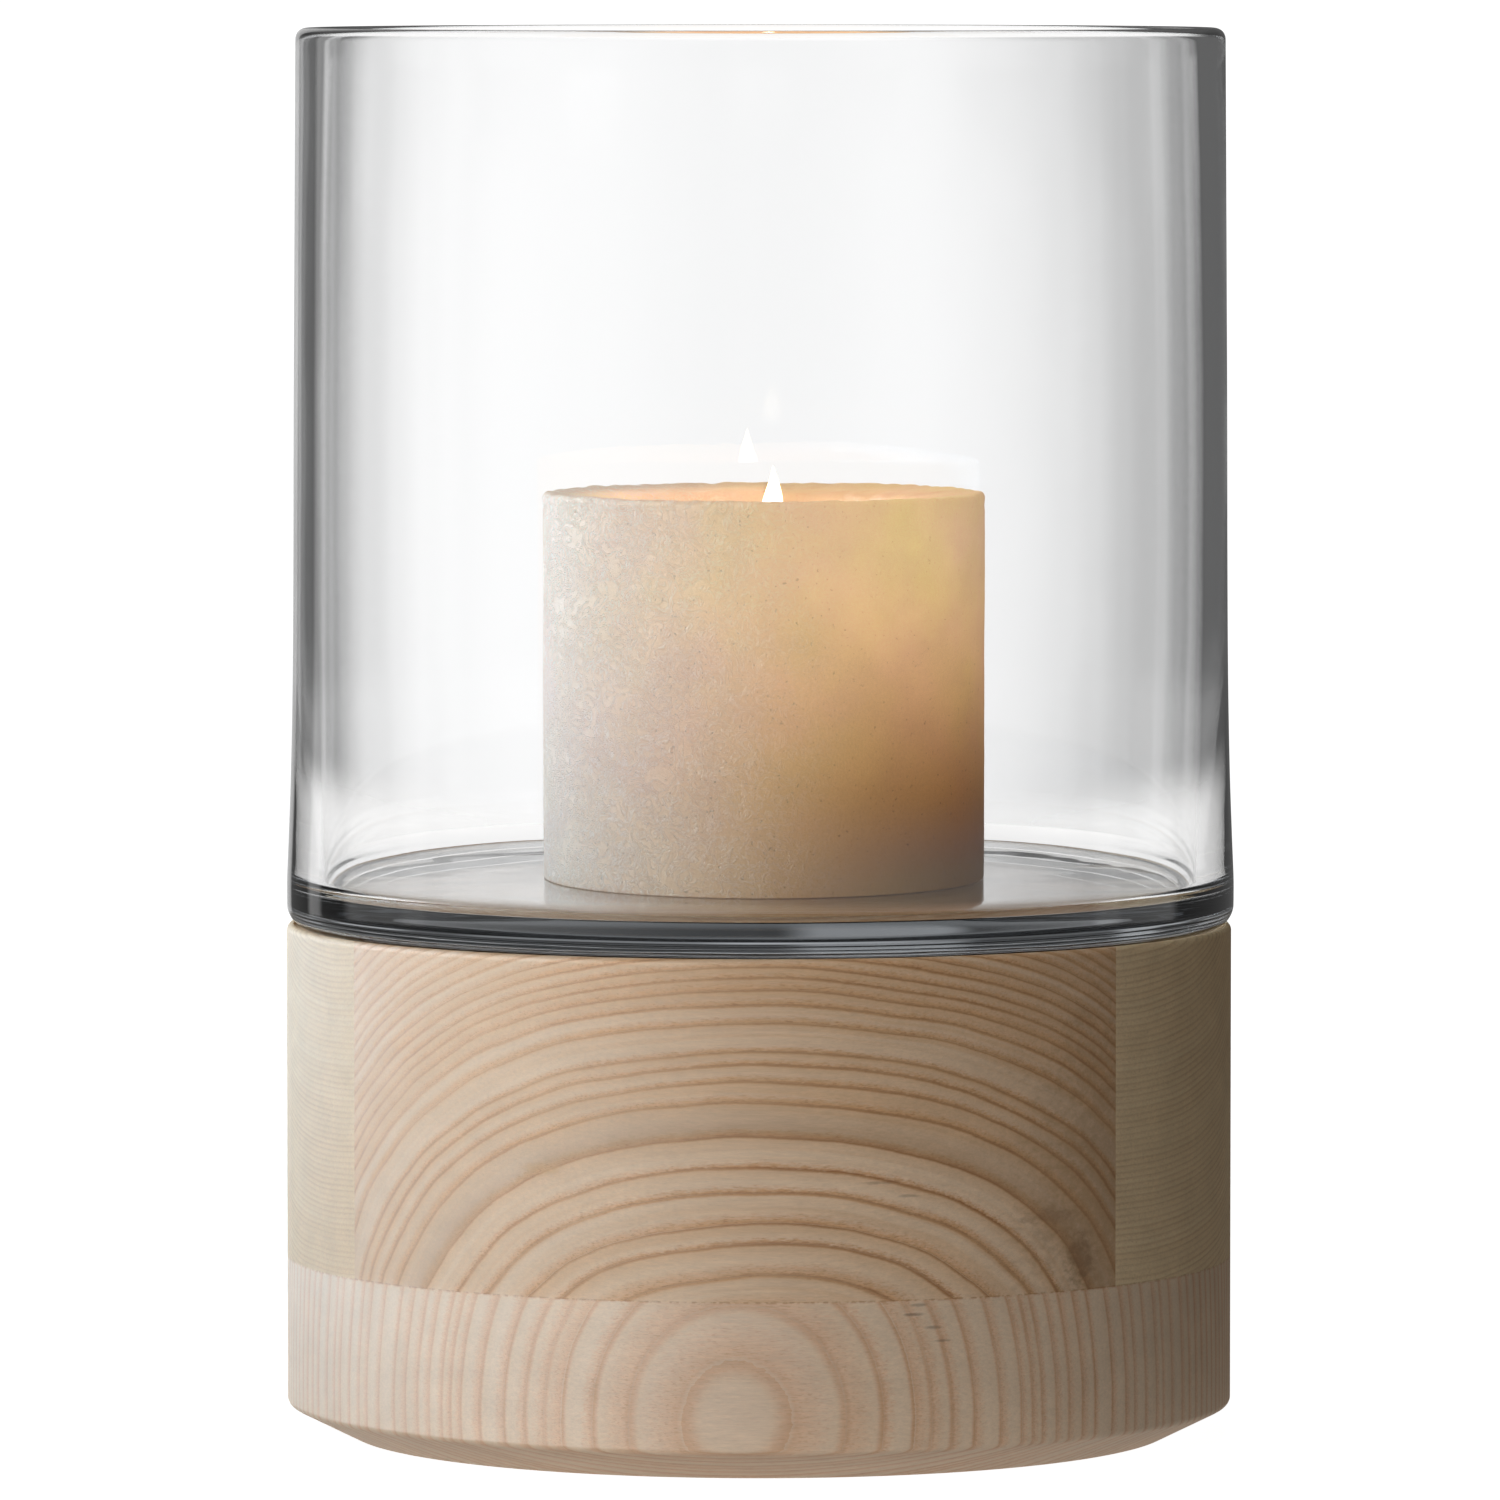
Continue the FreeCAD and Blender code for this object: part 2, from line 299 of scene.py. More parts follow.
def ash(name, pith, tilt, rings, spacing, wood, squash=1.0, marks_and_shade=(), stains=(), wander=1.0,
        contrast=1.0, gloss=0.5):
    """Ash with fibres along X. pith is the (y, z) of the growth rings' centre in mm, tilt is how
    far the rings lean along X, and squash flattens them along Y. rings are the distances from
    the pith at which rings begin, and past the last they follow at about the given spacing.
    wood is its cream, tan, orange and dark. Each of stains is (inner, outer, colour, share),
    and each of marks on the front is (x, z, width, height, colour, share): flecks and
    streaks, and on the centre board a broad patch of painted shade."""
    cream, tan, orange, dark = wood
    material, n = new_material(name)
    place = position_mm(n)
    x, y, z = n.split(place)

    def grain(scale, stretch, detail=2.0, roughness=0.5, shift=0.0):
        squeezed = n.math("MULTIPLY_ADD", x, stretch, shift)
        return n.noise(n.combine(squeezed, y, z), scale, detail, roughness)

    # Distance from the pith, made a little uneven
    behind = n.math("MULTIPLY", n.math("SUBTRACT", y, pith[0]), squash)
    lean = n.math("MULTIPLY_ADD", x, tilt, behind)
    rise = n.math("SUBTRACT", z, pith[1])
    plain = n.vector("LENGTH", n.combine(lean, rise, 0.0), out=1)
    d = n.math("MULTIPLY_ADD", n.math("SUBTRACT", grain(0.020, 0.5), 0.5), 7.0 * wander, plain)
    d = n.math("MULTIPLY_ADD", n.math("SUBTRACT", grain(0.085, 0.5), 0.5), 1.9 * wander, d)
    d = n.math("MULTIPLY_ADD", n.math("SUBTRACT", grain(1.3, 0.5), 0.5), 0.16, d)

    # Number of rings up to this point, and millimetres past the last one and before the next
    low, high = rings[0], rings[-1]
    count = len(rings) - 1

    def ring_number(distance):
        share = n.make("ShaderNodeMapRange", distance, low, high, 0.0, 1.0)
        curve = n.tree.nodes.new("ShaderNodeFloatCurve")
        points = curve.mapping.curves[0].points
        for i, start in enumerate(rings[1:-1], 1):
            points.new((start - low) / (high - low), i / count)
        for point in points:
            point.handle_type = "VECTOR"
        curve.mapping.update()
        n.tree.links.new(share, curve.inputs[1])
        number = n.math("MULTIPLY", curve.outputs[0], count)
        beyond = n.math("MAXIMUM", n.math("SUBTRACT", distance, high), 0.0)
        short = n.math("MAXIMUM", n.math("SUBTRACT", low, distance), 0.0)
        number = n.math("MULTIPLY_ADD", beyond, 1 / spacing, number)
        return n.math("MULTIPLY_ADD", short, -1 / spacing, number)

    number = ring_number(d)
    pitch = n.math("SUBTRACT", ring_number(n.math("ADD", d, 0.25)), number)
    pitch = n.math("MAXIMUM", n.math("MULTIPLY", pitch, 4.0), 0.05)
    through = n.math("FRACT", number)
    after = n.math("DIVIDE", through, pitch)
    before = n.math("DIVIDE", n.math("SUBTRACT", 1.0, through), pitch)
    ring = n.math("FLOOR", number)
    chance = n.make("ShaderNodeTexWhiteNoise", None, ring, noise_dimensions="1D")
    another = n.math("ADD", ring, 0.37)
    other = n.make("ShaderNodeTexWhiteNoise", None, another, noise_dimensions="1D")

    # Each ring starts at a thin dark line, is orange and porous, and turns cream and then tan
    patchy = n.step(grain(0.05, 0.35, 3.0), 0.32, 0.68)
    fuzz = n.math("MULTIPLY", n.math("SUBTRACT", grain(2.2, 0.22, 3.0, 0.65), 0.5), 2.0)
    edge = n.math("ADD", after, fuzz)
    width = n.math("MULTIPLY_ADD", other, 1.1, 1.0)
    early = n.math("MULTIPLY", n.step(edge, 0.1, width, 1.0, 0.0), n.step(after, 0.0, 0.15))
    early = n.math("MAXIMUM", early, n.step(before, 0.0, 0.5, 1.0, 0.0))
    line = n.step(before, 0.0, 0.45, 1.0, 0.0)
    beside = n.math("MULTIPLY_ADD", fuzz, 0.3, after)
    line = n.math("MAXIMUM", line, n.step(beside, 0.0, 0.40, 1.0, 0.0))
    late = n.step(before, 0.0, n.math("MULTIPLY_ADD", chance, 2.0, 0.9), 1.0, 0.0)
    bands = n.noise(n.combine(n.math("MULTIPLY", x, 0.012), d, 3.0), 0.62, 2.0, 0.6)
    bands = n.step(bands, 0.42, 0.70)

    # Fibres and pores run along X, so they show as streaks or as dots
    fibre = grain(1.7, 0.07, 3.0, 0.65)
    fine = grain(5.0, 0.12, 2.0, 0.6, 4.0)
    pores = grain(3.4, 0.16, 1.0, 0.5, 9.0)
    pore = n.math("MULTIPLY", n.step(pores, 0.56, 0.66), n.math("MULTIPLY_ADD", early, 0.9, 0.1))

    strong = n.math("MULTIPLY_ADD", chance, 0.6, 0.5)
    colour = n.mix(n.math("MULTIPLY", bands, 0.6 * contrast), cream, tan)
    colour = n.mix(n.math("MULTIPLY", late, 0.8), colour, tan)
    porous = n.math("MULTIPLY", early, n.math("MULTIPLY_ADD", patchy, 0.25, 0.75))
    colour = n.mix(n.math("MULTIPLY", porous, min(1.0, contrast)), colour, orange)
    strong = n.math("MULTIPLY", n.math("MULTIPLY_ADD", patchy, 0.4, 0.6), strong)
    line = n.math("MULTIPLY", line, strong)
    colour = n.mix(n.math("MULTIPLY", line, contrast), colour, dark)
    for inner, outer, shade, share in stains:
        begin = n.step(d, inner - 0.6, inner + 0.6)
        reach = n.math("MULTIPLY", begin, n.step(d, inner, outer, 1.0, 0.0))
        cloud = n.step(grain(0.08, 0.25, 3.0, 0.6, 5.0), 0.2, 0.75, 0.45, 1.0)
        reach = n.math("MULTIPLY", reach, cloud)
        colour = n.mix(n.math("MULTIPLY", reach, share), colour, shade)
    # Marks on the front: flecks and streaks in the wood, and on the centre board a broad patch
    # of painted shade
    for mark_x, mark_z, wide, tall, shade, share in marks_and_shade:
        off_x = n.math("MULTIPLY", n.math("SUBTRACT", x, mark_x), 1 / wide)
        off_z = n.math("MULTIPLY", n.math("SUBTRACT", z, mark_z), 1 / tall)
        away = n.vector("LENGTH", n.combine(off_x, off_z, 0.0), out=1)
        ragged = n.math("SUBTRACT", grain(0.6, 0.2, 3.0, 0.6), 0.5)
        ragged = n.math("MULTIPLY_ADD", ragged, 1.6, away)
        front = n.step(y, -20.0, 0.0, 1.0, 0.0)
        spot_and_shade = n.math("MULTIPLY", n.step(ragged, 0.2, 1.0, 1.0, 0.0), front)
        colour = n.mix(n.math("MULTIPLY", spot_and_shade, share), colour, shade)
    colour = n.mix(n.math("MULTIPLY", pore, 0.42), colour, dark)

    # Here and there glue shows as a thin dark line between the lower board and the rest
    seam = n.math("ABSOLUTE", n.math("SUBTRACT", z, GLUE_HEIGHT / MM))
    dashes = n.step(grain(0.8, 1.0), 0.40, 0.60)
    seam = n.math("MULTIPLY", n.step(seam, 0.1, 0.4, 1.0, 0.0), dashes)
    colour = n.mix(n.math("MULTIPLY", seam, 0.6), colour, dark)
    tone = n.math("MULTIPLY_ADD", fibre, 0.36, 0.71)
    tone = n.math("MULTIPLY_ADD", fine, 0.22, tone)
    blotch = grain(0.12, 0.12, 3.0, 0.6, 7.0)
    tone = n.math("MULTIPLY", tone, n.math("MULTIPLY_ADD", blotch, 0.28, 0.86))
    colour = n.tint(colour, tone)

    height = n.math("MULTIPLY_ADD", pore, -0.5, n.math("MULTIPLY", fibre, 0.4))
    rough = n.math("MULTIPLY_ADD", fibre, 0.12, 0.48)
    shader = principled(
        n, Base_Color=colour, Roughness=rough, Specular_IOR_Level=gloss,
        Normal=n.bump(height, 0.25, 0.0002),
    )
    n.finish(shader)
    return material


def clear_glass():
    """Soda-lime glass. Lamps, scattered light and dull gloss pass it straight, and only sight
    and sharp reflections are refracted."""
    material, n = new_material("clear_glass")
    place = position_mm(n)
    sway = n.noise(place, 0.03, 1.0)
    shader = principled(
        n, Base_Color=(1.0, 1.0, 1.0), Roughness=0.0, IOR=1.51,
        Transmission_Weight=1.0, Normal=n.bump(sway, 0.05, 0.0010),
    )
    passing = n.make("ShaderNodeBsdfTransparent", (0.93, 0.95, 0.95))
    path = n.tree.nodes.new("ShaderNodeLightPath")
    dull = n.math("SUBTRACT", path.outputs["Is Glossy Ray"], path.outputs["Is Singular Ray"])
    through = n.math("MAXIMUM", path.outputs["Is Shadow Ray"], path.outputs["Is Diffuse Ray"])
    through = n.math("MAXIMUM", through, dull)
    shader = n.make("ShaderNodeMixShader", through, shader, passing)
    volume = n.make("ShaderNodeVolumeAbsorption", (0.40, 0.43, 0.46), 9.0)
    n.finish(shader, volume)
    return material


def wax():
    """Ivory wax, frosted, whiter towards -X: partly bloomed, partly painted sheen. Painted flame
    glow inside.
    """
    material, n = new_material("candle_wax")
    place = position_mm(n)
    x, y, z = n.split(place)
    flat_x = n.math("SUBTRACT", x, WAX_X / MM)
    facing = n.math("ARCTAN2", flat_x, n.math("MULTIPLY", y, -1.0))
    facing = n.math("MULTIPLY", facing, 180 / math.pi)
    mottle = n.noise(place, 0.06, 3.0, 0.6)
    grain = n.noise(place, 1.6, 2.0)
    feather = n.noise(place, 0.22, 4.0, 0.65, 2.2)
    crystal = n.step(n.math("ABSOLUTE", n.math("SUBTRACT", feather, 0.5)), 0.0, 0.06, 1.0, 0.0)

    # Faint bloom and painted sheen, whitest on the side towards -X, where the light falls
    spread = n.math("ADD", facing, n.math("MULTIPLY", n.math("SUBTRACT", mottle, 0.5), 30.0))
    bloom_and_sheen = n.step(spread, -62.0, 30.0, 1.0, 0.0)
    bloom_and_sheen = n.math("MULTIPLY", bloom_and_sheen, n.step(spread, -178.0, -130.0))
    colour = n.mix(n.math("MULTIPLY", bloom_and_sheen, 0.55), (0.54, 0.33, 0.15), (0.70, 0.63, 0.53))
    # White frost feathers, only on that lit side, so partly a painted highlight
    frost_and_sheen = n.math("MULTIPLY", crystal, bloom_and_sheen)
    colour = n.mix(n.math("MULTIPLY", frost_and_sheen, 0.6), colour, (0.90, 0.88, 0.82))
    colour = n.tint(colour, n.math("MULTIPLY_ADD", grain, 0.22, 0.89))
    pits = n.step(n.noise(place, 1.0, 3.0, 0.6), 0.64, 0.72)
    colour = n.tint(colour, n.math("MULTIPLY_ADD", pits, -0.4, 1.0))

    # Painted glow of the flame's light: strongest round the bowl and towards +X, redder where it
    # came further
    down = n.math("SUBTRACT", WAX_TOP / MM, z)
    side = n.step(flat_x, -44.0, 34.0)
    near = n.mix(side, (0.33, 0.245, 0.19), (0.66, 0.445, 0.235))
    radius = n.vector("LENGTH", n.combine(flat_x, y, 0.0), out=1)
    bowl = n.step(radius, 34.0, 47.0, 1.0, 0.0)
    bowl = n.math("MULTIPLY", bowl, n.step(down, 12.0, 15.0, 1.0, 0.0))
    near = n.mix(bowl, near, (0.85, 0.50, 0.28))

    def fades(begin, end_right):
        end = n.make("ShaderNodeMapRange", side, 0.0, 1.0, 135.0, end_right)
        return n.step(down, begin, end, 1.0, 0.0)

    fade = n.combine(fades(16.0, 90.0), fades(10.0, 84.0), fades(6.0, 78.0))
    uneven = n.math("MULTIPLY_ADD", mottle, 0.4, 0.80)
    uneven = n.math("MULTIPLY", uneven, n.step(facing, 42.0, 85.0, 1.0, 0.82))
    uneven = n.math("MULTIPLY", uneven, n.math("MULTIPLY_ADD", grain, 0.12, 0.94))
    uneven = n.math("MULTIPLY", uneven, n.math("MULTIPLY_ADD", pits, -0.18, 1.0))
    clouds = n.noise(n.vector("ADD", place, (300.0, 0.0, 0.0)), 0.035, 3.0, 0.6)
    less_green = n.math("MULTIPLY_ADD", clouds, 0.36, 0.82)
    less_blue = n.math("MULTIPLY_ADD", clouds, -0.5, 1.25)
    hue = n.combine(1.0, less_green, less_blue)
    glow = n.tint(n.vector("MULTIPLY", n.vector("MULTIPLY", near, hue), fade), uneven)

    # Relief: feathers of bloom, soft dents, pits and grain
    height = n.math("MULTIPLY_ADD", frost_and_sheen, 1.0, n.math("MULTIPLY", mottle, 0.6))
    height = n.math("MULTIPLY_ADD", pits, -0.4, height)
    height = n.math("MULTIPLY_ADD", grain, 0.3, height)
    shader = principled(
        n, Base_Color=colour, Roughness=0.45, Specular_IOR_Level=0.28,
        Emission_Color=glow, Emission_Strength=1.0,
        Normal=n.bump(height, 0.5, 0.0008),
    )
    n.finish(shader)
    return material


def molten_wax():
    """The clear pool in the candle's bowl, with a painted flame glow, brightest at the wick."""
    material, n = new_material("molten_wax")
    place = position_mm(n)
    x, y, _ = n.split(place)
    off = n.combine(n.math("SUBTRACT", x, WICK_X / MM), y, 0.0)
    away = n.vector("LENGTH", off, out=1)
    glow = n.mix(n.step(away, 2.0, 26.0), (1.0, 0.52, 0.20), (0.75, 0.36, 0.14))
    swirl = n.noise(place, 0.15, 2.0)
    shader = principled(
        n, Base_Color=(0.80, 0.56, 0.34), Roughness=0.05, Specular_IOR_Level=0.5,
        Emission_Color=glow, Emission_Strength=0.7, Normal=n.bump(swirl, 0.1, 0.0005),
    )
    n.finish(shader)
    return material


def cotton():
    """Braided cotton: waxed and pale low down, charred at the free end."""
    material, n = new_material("wick_cotton")
    place = position_mm(n)
    _, _, z = n.split(place)
    tip = wick_high.z / MM
    strand = n.noise(place, 3.0, 2.0)
    char = n.step(z, tip - 9.0, tip - 5.0)
    colour = n.mix(char, (0.55, 0.45, 0.33), (0.012, 0.010, 0.009))
    ember = n.step(z, tip - 1.6, tip - 0.2)
    colour = n.tint(colour, n.math("MULTIPLY_ADD", strand, 0.8, 0.6))
    shader = principled(
        n, Base_Color=colour, Roughness=0.85, Emission_Color=(1.0, 0.22, 0.04),
        Emission_Strength=n.math("MULTIPLY", ember, 3.0), Normal=n.bump(strand, 0.8, 0.0003),
    )
    n.finish(shader)
    return material


def flame_light():
    """A white-hot body, orange towards its edges and clear blue at the wick."""
    material, n = new_material("flame")
    place = position_mm(n)
    _, _, z = n.split(place)
    facing = n.make("ShaderNodeLayerWeight", 0.35, out=1)
    low = FLAME_FOOT / MM
    up = n.step(z, low, low + 7.0)
    colour = n.mix(n.step(facing, 0.1, 0.9), (1.0, 0.86, 0.58), (1.0, 0.55, 0.18))
    colour = n.mix(up, (0.25, 0.35, 0.9), colour)
    power = n.step(up, 0.0, 1.0, 0.3, 10.0)
    strength = n.math("MULTIPLY", power, n.step(facing, 0.3, 0.9, 1.0, 0.12))
    light = n.make("ShaderNodeEmission", colour, strength)
    clear = n.make("ShaderNodeBsdfTransparent", (1.0, 1.0, 1.0))
    solid = n.step(facing, 0.15, 0.85, 1.0, 0.0)
    solid = n.math("MULTIPLY", solid, n.step(up, 0.0, 0.8, 0.15, 1.0))
    n.finish(n.make("ShaderNodeMixShader", solid, clear, light))
    return material


def pressed_steel():
    """Thin tinned steel with fine rolling lines."""
    material, n = new_material("wick_tab_steel")
    place = position_mm(n)
    x, y, z = n.split(place)
    lines = n.noise(n.combine(n.math("MULTIPLY", x, 0.1), y, z), 8.0, 2.0)
    shade = n.math("MULTIPLY_ADD", lines, 0.2, 0.55)
    shader = principled(
        n, Base_Color=n.combine(shade, shade, shade), Metallic=1.0,
        Roughness=n.math("MULTIPLY_ADD", lines, 0.2, 0.25), Normal=n.bump(lines, 0.2, 0.0001),
    )
    n.finish(shader)
    return material


# ---------------------------------------------------------------- wooden base

def turned_block():
    """The base as one turned solid, ready to be cut into its boards."""
    outline = rounded([
        (0, 0, 0),
        (FOOT_RADIUS, 0, 0.4 * MM),
        (BASE_RADIUS, CHAMFER_TOP, 1.6 * MM),
        (BASE_RADIUS, BASE_TOP, 1.5 * MM),
        (RECESS_RADIUS, BASE_TOP, 0),
        (RECESS_RADIUS, RECESS_FLOOR - SKIN, 0),
        (0, RECESS_FLOOR - SKIN, 0),
    ], steps=6)
    return turned_mesh(outline, 360)


def board(node, material, cuts):
    """One board: the turned block, cut by its glue planes."""
    bm = turned_block()
    for point, normal in cuts:
        keep_side(bm, point, normal)
    piece = finished(bm, node + "_turned", 30, material)
    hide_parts(node)
    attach(piece, "base")


def wooden_base():
    """The four boards. The pith of each is behind, in or below its front face."""
    up, down = (0, 0, 1), (0, 0, -1)
    left, right = (-1, 0, 0), (1, 0, 0)
    glue = (0, 0, GLUE_HEIGHT)
    left_glue, right_glue = (LEFT_GLUE_X, 0, 0), (RIGHT_GLUE_X, 0, 0)
    face = -BASE_RADIUS / MM
    fleck = (0.16, 0.10, 0.07)
    lower = ash(
        "ash_lower_board", (face - 118.0, 14.0), 0.045,
        [118.0 + step for step in (
            -1.9, 0.6, 2.6, 4.8, 7.2, 8.7, 10.7, 13.2, 16.5, 19.6, 21.3, 22.9, 25.4, 27.7, 30.5,
            33.2, 37.4, 41.0, 43.6, 46.9, 50.6, 53.0, 56.4, 60.8,
        )], 3.4,
        ((0.79, 0.62, 0.455), (0.76, 0.57, 0.40), (0.74, 0.46, 0.28), (0.58, 0.32, 0.17)),
        marks_and_shade=[
            (33.0, 37.0, 3.6, 0.5, fleck, 0.6), (37.5, 34.0, 3.0, 0.5, fleck, 0.5),
            (40.0, 31.0, 3.2, 0.4, fleck, 0.5), (35.0, 39.0, 2.4, 0.4, fleck, 0.45),
        ], wander=0.12, contrast=0.8, gloss=0.75,
    )
    centre = ash(
        "ash_centre_board", (face - 65.7, 11.6), 0.0,
        [58.0, 62.2, 66.3, 70.3, 73.1, 77.5, 81.3, 86.4, 92.2, 95.7, 98.6, 100.9, 106.0, 109.1,
         111.7, 113.9, 116.0, 118.3, 120.5, 122.9, 125.2, 127.3, 129.6, 131.9, 134.2], 2.4,
        ((0.79, 0.59, 0.41), (0.69, 0.45, 0.26), (0.65, 0.37, 0.185), (0.36, 0.165, 0.07)),
        squash=0.86,
        marks_and_shade=[
            (-48.0, 68.0, 7.0, 2.2, (0.56, 0.33, 0.16), 0.5),
            # A broad darker patch over the right of the front, away from the key light: painted
            # shade
            (84.0, 62.0, 34.0, 60.0, (0.38, 0.23, 0.115), 0.45),
            (70.5, 47.0, 4.0, 7.5, (0.22, 0.13, 0.07), 0.5),
            (63.0, 57.0, 9.0, 2.0, (0.26, 0.15, 0.08), 0.3),
            (26.0, 66.0, 5.0, 0.6, fleck, 0.4), (33.0, 63.0, 3.0, 0.5, fleck, 0.4),
        ],
        stains=[(86.4, 92.8, (0.36, 0.21, 0.11), 0.6), (86.4, 500.0, (0.50, 0.30, 0.15), 0.26)],
        wander=0.5,
    )
    left_wood = ash(
        "ash_left_board", (-52.0, 185.0), 0.04, [62.0 + 1.25 * i for i in range(9)], 1.25,
        ((0.88, 0.71, 0.49), (0.83, 0.63, 0.41), (0.78, 0.55, 0.34), (0.58, 0.38, 0.22)),
        wander=0.3, contrast=0.6, gloss=0.36,
    )
    right_wood = ash(
        "ash_right_board", (-72.0, 190.0), -0.03, [62.0 + 1.4 * i for i in range(9)], 1.4,
        ((0.86, 0.71, 0.47), (0.80, 0.63, 0.40), (0.76, 0.54, 0.32), (0.50, 0.33, 0.18)),
        wander=0.3, contrast=0.6,
    )
    board("base_lower_board", lower, [(glue, down)])
    board("base_centre_board", centre, [(glue, up), (left_glue, right), (right_glue, left)])
    board("base_left_board", left_wood, [(glue, up), (left_glue, left)])
    board("base_right_board", right_wood, [(glue, up), (right_glue, right)])


# ---------------------------------------------------------------- glass

def smooth_curve(points, steps):
    """A Catmull-Rom curve through (r, z) points."""
    padded = [2 * points[0] - points[1], *points, 2 * points[-1] - points[-2]]
    out = []
    for a, b, c, d in zip(padded, padded[1:], padded[2:], padded[3:]):
        for k in range(steps):
            t = k / steps
            out.append(0.5 * (
                2 * b + (c - a) * t + (2 * a - 5 * b + 4 * c - d) * t * t
                + (3 * b - a - 3 * c + d) * t * t * t
            ))
    return [*out, points[-1]]


def glass_outline():
    """Hollow underside, heel, outer wall, fire-polished rim, inner wall and inner floor."""
    low, top, floor = RECESS_FLOOR, GLASS_TOP, GLASS_FLOOR
    heel = GLASS_RADIUS
    outer = smooth_curve([
        Vector((heel, low + 6.5 * MM)), Vector((heel - 0.03 * MM, low + 11.5 * MM)),
        Vector((heel - 0.42 * MM, low + 21 * MM)), Vector((heel - 0.95 * MM, low + 36 * MM)),
        Vector((heel - 1.38 * MM, low + 58 * MM)), Vector((heel - 1.6 * MM, low + 86 * MM)),
        Vector((heel - 1.75 * MM, low + 120 * MM)), Vector((RIM_RADIUS, top - 3.2 * MM)),
    ], 8)
    inner_curve_radius = 3500 * MM
    start = Vector((INNER_RIM_RADIUS, top - RIM_ROUND))
    end = Vector((INNER_FOOT_RADIUS, floor + FLOOR_ROUND + 0.3 * MM))
    inner = []
    for k in range(49):
        t = k / 48
        point = start.lerp(end, t)
        bulge = (end - start).length ** 2 * t * (1 - t) / (2 * inner_curve_radius)
        inner.append(point + Vector((bulge, 0)))
    under = [
        Vector((0, low + 0.9 * MM)), Vector((70 * MM, low + 0.5 * MM)), Vector((94 * MM, low)),
        Vector((heel - HEEL_ROUND, low)),
    ]
    centre = Vector((heel - HEEL_ROUND, low + HEEL_ROUND))
    heel_arc = [
        centre + HEEL_ROUND * Vector((math.sin(a), -math.cos(a)))
        for a in (math.radians(6 * i) for i in range(1, 15))
    ]
    rim_arc = []
    middle = (RIM_RADIUS + INNER_RIM_RADIUS) / 2
    half = (RIM_RADIUS - INNER_RIM_RADIUS) / 2
    fullness = 0.82
    for i in range(1, 24):
        a = math.pi * i / 24
        across = half * abs(math.cos(a)) ** fullness
        rim_arc.append(Vector((
            middle + math.copysign(across, math.cos(a)),
            top - RIM_ROUND + RIM_ROUND * math.sin(a) ** fullness,
        )))
    corner = Vector((end.x - FLOOR_ROUND, floor + FLOOR_ROUND))
    inner_arc = [
        corner + FLOOR_ROUND * Vector((math.cos(a), -math.sin(a)))
        for a in (math.radians(6 * i) for i in range(1, 15))
    ]
    floor_radii = (94.6, 92, 88, 80, 70, 60, 50, 40, 30, 20, 10, 0)
    floor_line = [Vector((r * MM, floor)) for r in floor_radii]
    return under + heel_arc + outer + rim_arc + inner + inner_arc + floor_line


def glass_cylinder(material):
    """The blown glass, in one piece. It is never quite even: its floor undulates most."""
    outline = divided(glass_outline(), 5 * MM)
    bm = turned_mesh(outline, 360, GLASS_X)
    mid_wall = 101.5 * MM
    for v in bm.verts:
        r = math.hypot(v.co.x - GLASS_X, v.co.y)
        on_floor = r < 97.5 * MM and abs(v.co.z - GLASS_FLOOR) < 3 * MM
        on_wall = r > 97 * MM and v.co.z > RECESS_FLOOR + 1.0 * MM
        if on_floor:
            away = min(1.0, max(0.0, (r - 54 * MM) / (20 * MM)), (98 * MM - r) / (6 * MM))
            lift = noise.noise(v.co * 38.0) * 0.16 * MM
            lift += noise.noise(v.co * 90.0) * 0.04 * MM
            v.co.z += lift * away - 0.04 * MM
        elif on_wall:
            # The outside stays inside the CAD glass by more than it sways
            wobble = noise.noise(Vector((v.co.x, v.co.y, v.co.z * 0.5)) * 9.0) * 0.02 * MM
            shrink = 0.03 * MM if r > mid_wall else 0.0
            flat = Vector((v.co.x - GLASS_X, v.co.y, 0)).normalized()
            v.co += flat * (wobble - shrink)
        else:
            v.co.z += SKIN
    piece = finished(bm, "glass_blown", 60, material)
    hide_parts("glass_cylinder")
    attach(piece, "glass")


# ---------------------------------------------------------------- candle

def wax_pillar(material):
    """The pillar, with an uneven, slightly slumped rim round the bowl."""
    foot, top = GLASS_FLOOR + SKIN, WAX_TOP
    outline = divided(rounded([
        (0, foot, 0),
        (WAX_RADIUS - 0.15 * MM, foot, 0.25 * MM),
        (WAX_RADIUS - 0.15 * MM, top - 0.1 * MM, 1.3 * MM),
        (47.3 * MM, top - 0.15 * MM, 1.0 * MM),
        (33.0 * MM, top - 1.9 * MM, 5.0 * MM),
        (27.5 * MM, top - BOWL_DEPTH, 3.0 * MM),
        (0, top - BOWL_DEPTH, 0),
    ], steps=6), 1.6 * MM)
    bm = turned_mesh(outline, 300, WAX_X)
    for v in bm.verts:
        flat = Vector((v.co.x - WAX_X, v.co.y, 0))
        r = flat.length
        if r < 1e-6:
            continue
        flat.normalize()
        if r > 46 * MM and v.co.z < top - 2 * MM:
            dents = noise.noise(v.co * 55.0) * 0.10 * MM
            dents += noise.noise(v.co * 240.0) * 0.04 * MM
            v.co += flat * (dents - 0.08 * MM)
        if v.co.z > top - 4 * MM and r > 20 * MM:
            slump = noise.noise(flat * 3.1 + Vector((0, 0, 7.0))) * 0.55 * MM
            ragged = noise.noise(v.co * 330.0) * 0.42 * MM
            v.co.z += min(0.0, slump * 0.5 - 0.25 * MM + ragged)
            v.co += flat * noise.noise(v.co * 260.0) * 0.22 * MM
        elif v.co.z > top - 14 * MM and 20 * MM < r < 40 * MM:
            v.co += flat * noise.noise(flat * 1.7 + Vector((3.0, 0, 0))) * 2.2 * MM
    piece = finished(bm, "wax_pillar", 50, material)
    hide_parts("candle_wax")
    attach(piece, "candle")


